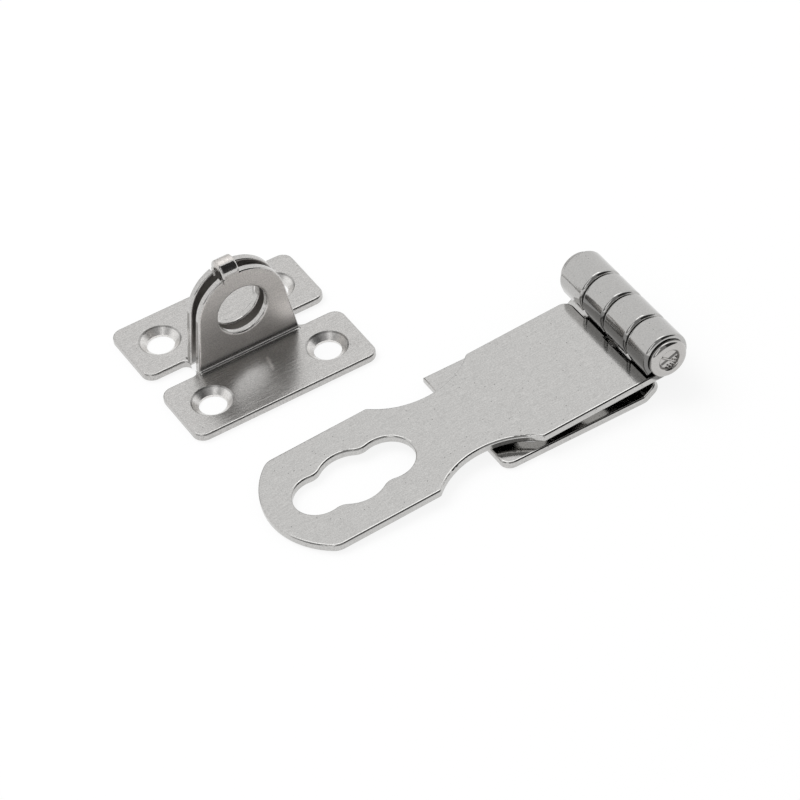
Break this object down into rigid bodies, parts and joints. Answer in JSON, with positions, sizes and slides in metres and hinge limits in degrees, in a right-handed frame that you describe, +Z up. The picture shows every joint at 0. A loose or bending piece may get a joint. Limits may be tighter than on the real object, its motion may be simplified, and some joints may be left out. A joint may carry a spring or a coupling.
{
  "type": "padlock hasp",
  "caption": "Sheet-steel padlock hasp: a slotted strap on a pinned knuckle hinge folds over a screw-down staple whose holed ears take the padlock's shackle.",
  "frame": {"origin": "centre of the hinge leaf's four screw holes, on the mounting surface", "axes": "+X from the strap's nose towards the hinge, +Y along the hinge pin towards the staple's side, +Z up from the mounting surface"},
  "size_m": [0.076, 0.0713, 0.0216],
  "materials": {
    "hasp_strap": "satin tumbled stainless steel, polished on the barrel",
    "hinge_leaf": "satin tumbled stainless steel, polished on the barrel",
    "hinge_pin": "polished stainless steel",
    "staple": "satin stainless steel"
  },
  "bodies": {
    "fixed_side": {"hinge_leaf": "hinge_leaf", "hinge_pin": "hinge_pin", "staple": "staple"},
    "strap": {"hasp_strap": "hasp_strap"}
  },
  "joints": [
    {"name": "strap_hinge", "type": "hinge", "parent": "fixed_side", "child": "strap", "pos_m": [0.0178, 0, 0.0083], "axis": [0, 1, 0], "range_deg": [0, 180]}
  ]
}
